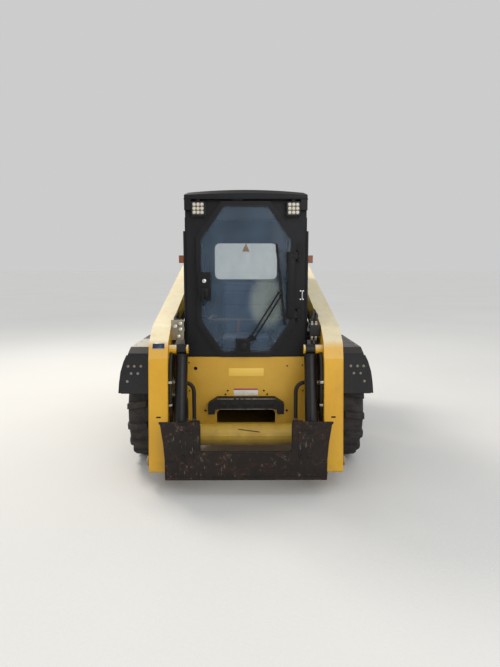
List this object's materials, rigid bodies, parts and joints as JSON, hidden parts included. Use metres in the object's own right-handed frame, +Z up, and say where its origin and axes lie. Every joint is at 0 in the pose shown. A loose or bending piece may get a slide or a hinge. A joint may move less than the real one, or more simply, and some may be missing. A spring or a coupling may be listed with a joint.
{
  "type": "skid steer loader",
  "caption": "Compact skid steer loader with enclosed cab, radial lift arms, quick coupler, lugged tyres and opening doors.",
  "frame": {"origin": "on the ground under the middle of the machine", "axes": "-Y is the front, +X is the side to the right of someone facing the machine's front, +Z is up"},
  "size_m": [1.784, 2.87, 2.0586],
  "materials": {
    "body_yellow": "satin, dusty and scratched",
    "cab_black": "satin, dusty",
    "frame_dark": "matt, dusty",
    "step_black": "worn",
    "engine_grey": "matt",
    "bumper_dark": "matt paint",
    "fender_black": "matt",
    "cab_glass": "clear, dusty",
    "door_glass": "clear, dusty",
    "floor_dark": "matt, muddy",
    "seat_steel": "matt",
    "seat_vinyl": "vinyl, worn",
    "pod_plastic": "textured",
    "lamp_white": "clear lens",
    "lamp_amber": "moulded lens",
    "coupler_dark": "rusty, grimy",
    "latch_steel": "worn",
    "fittings_black": "matt",
    "bar_black": "padded",
    "cylinder_black": "gloss, dusty",
    "rod_chrome": "polished",
    "hose_rubber": "dull, dusty",
    "tyre_rubber": "dusty",
    "rim_paint": "matt, dusty"
  },
  "bodies": {
    "machine": {"chassis_tub": "body_yellow", "front_panel": "body_yellow", "entry_step": "step_black", "uprights": "body_yellow", "axle_housings": "frame_dark", "engine_block": "engine_grey", "rear_bumper": "bumper_dark", "fenders": "fender_black", "cab_shell": "cab_black", "cab_roof": "cab_black", "cab_glass": "cab_glass", "cab_floor": "floor_dark", "seat_base": "seat_steel", "seat_cushions": "seat_vinyl", "control_pods": "pod_plastic", "work_lamps": "lamp_white", "rear_lamps": "lamp_amber"},
    "arms": {"lift_arm_left": "body_yellow", "lift_arm_right": "body_yellow", "torque_tube": "body_yellow", "arm_hoses": "hose_rubber"},
    "coupler": {"coupler": "coupler_dark", "coupler_latches": "latch_steel"},
    "door": {"door_frame": "cab_black", "door_glass": "door_glass", "door_fittings": "fittings_black"},
    "hood": {"hood": "body_yellow"},
    "rear_door": {"rear_door": "body_yellow"},
    "lap_bar": {"lap_bar": "bar_black"},
    "lift_barrel_left": {"lift_barrel_left": "cylinder_black"},
    "lift_rod_left": {"lift_rod_left": "rod_chrome"},
    "tilt_barrel_left": {"tilt_barrel_left": "cylinder_black"},
    "tilt_rod_left": {"tilt_rod_left": "rod_chrome"},
    "lift_barrel_right": {"lift_barrel_right": "cylinder_black"},
    "lift_rod_right": {"lift_rod_right": "rod_chrome"},
    "tilt_barrel_right": {"tilt_barrel_right": "cylinder_black"},
    "tilt_rod_right": {"tilt_rod_right": "rod_chrome"},
    "wheel_front_left": {"tyre_front_left": "tyre_rubber", "wheel_front_left": "rim_paint"},
    "wheel_rear_left": {"tyre_rear_left": "tyre_rubber", "wheel_rear_left": "rim_paint"},
    "wheel_front_right": {"tyre_front_right": "tyre_rubber", "wheel_front_right": "rim_paint"},
    "wheel_rear_right": {"tyre_rear_right": "tyre_rubber", "wheel_rear_right": "rim_paint"}
  },
  "joints": [
    {"name": "arm_lift", "type": "hinge", "parent": "machine", "child": "arms", "pos_m": [0, 1.05, 1.5], "axis": [-1, 0, 0], "range_deg": [0, 67]},
    {"name": "coupler_tilt", "type": "hinge", "parent": "arms", "child": "coupler", "pos_m": [0, -1.25, 0.17], "axis": [1, 0, 0], "range_deg": [-22, 109]},
    {"name": "lift_swing_left", "type": "hinge", "parent": "machine", "child": "lift_barrel_left", "pos_m": [-0.586, 1.15, 0.64], "axis": [-1, 0, 0], "range_deg": [0, 21.94]},
    {"name": "lift_stroke_left", "type": "slide", "parent": "lift_barrel_left", "child": "lift_rod_left", "axis": [0, -0.7619, 0.6476], "range_m": [0, 0.574]},
    {"name": "tilt_swing_left", "type": "hinge", "parent": "arms", "child": "tilt_barrel_left", "pos_m": [-0.447, -1.13, 0.93], "axis": [1, 0, 0], "range_deg": [-3.23, 1.05]},
    {"name": "tilt_stroke_left", "type": "slide", "parent": "tilt_barrel_left", "child": "tilt_rod_left", "axis": [0, -0.2584, -0.966], "range_m": [-0.0423, 0.2055]},
    {"name": "lift_swing_right", "type": "hinge", "parent": "machine", "child": "lift_barrel_right", "pos_m": [0.586, 1.15, 0.64], "axis": [-1, 0, 0], "range_deg": [0, 21.94]},
    {"name": "lift_stroke_right", "type": "slide", "parent": "lift_barrel_right", "child": "lift_rod_right", "axis": [0, -0.7619, 0.6476], "range_m": [0, 0.574]},
    {"name": "tilt_swing_right", "type": "hinge", "parent": "arms", "child": "tilt_barrel_right", "pos_m": [0.447, -1.13, 0.93], "axis": [1, 0, 0], "range_deg": [-3.23, 1.05]},
    {"name": "tilt_stroke_right", "type": "slide", "parent": "tilt_barrel_right", "child": "tilt_rod_right", "axis": [0, -0.2584, -0.966], "range_m": [-0.0423, 0.2055]},
    {"name": "spin_front_left", "type": "hinge", "parent": "machine", "child": "wheel_front_left", "pos_m": [-0.721, -0.61, 0.419], "axis": [1, 0, 0], "continuous": true},
    {"name": "spin_rear_left", "type": "hinge", "parent": "machine", "child": "wheel_rear_left", "pos_m": [-0.721, 0.57, 0.419], "axis": [1, 0, 0], "continuous": true},
    {"name": "spin_front_right", "type": "hinge", "parent": "machine", "child": "wheel_front_right", "pos_m": [0.721, -0.61, 0.419], "axis": [1, 0, 0], "continuous": true},
    {"name": "spin_rear_right", "type": "hinge", "parent": "machine", "child": "wheel_rear_right", "pos_m": [0.721, 0.57, 0.419], "axis": [1, 0, 0], "continuous": true},
    {"name": "door_swing", "type": "hinge", "parent": "machine", "child": "door", "pos_m": [0.378, -1.005, 1.37], "axis": [0, 0, 1], "range_deg": [0, 85]},
    {"name": "rear_door_swing", "type": "hinge", "parent": "machine", "child": "rear_door", "pos_m": [-0.438, 1.394, 0.9], "axis": [0, 0, 1], "range_deg": [0, 100]},
    {"name": "hood_lift", "type": "hinge", "parent": "machine", "child": "hood", "pos_m": [0, 0.358, 1.187], "axis": [1, 0, 0], "range_deg": [0, 50]},
    {"name": "lap_bar_lift", "type": "hinge", "parent": "machine", "child": "lap_bar", "pos_m": [0, 0.06, 1.04], "axis": [-1, 0, 0], "range_deg": [0, 80]}
  ],
  "couplings": [
    {"joint": "lift_swing_left", "follows": "arm_lift", "ratio": 0.32},
    {"joint": "lift_stroke_left", "follows": "arm_lift", "m_per_rad": 0.49},
    {"joint": "tilt_swing_left", "follows": "coupler_tilt", "ratio": -0.025},
    {"joint": "tilt_stroke_left", "follows": "coupler_tilt", "m_per_rad": 0.1075},
    {"joint": "lift_swing_right", "follows": "arm_lift", "ratio": 0.32},
    {"joint": "lift_stroke_right", "follows": "arm_lift", "m_per_rad": 0.49},
    {"joint": "tilt_swing_right", "follows": "coupler_tilt", "ratio": -0.025},
    {"joint": "tilt_stroke_right", "follows": "coupler_tilt", "m_per_rad": 0.1075}
  ]
}
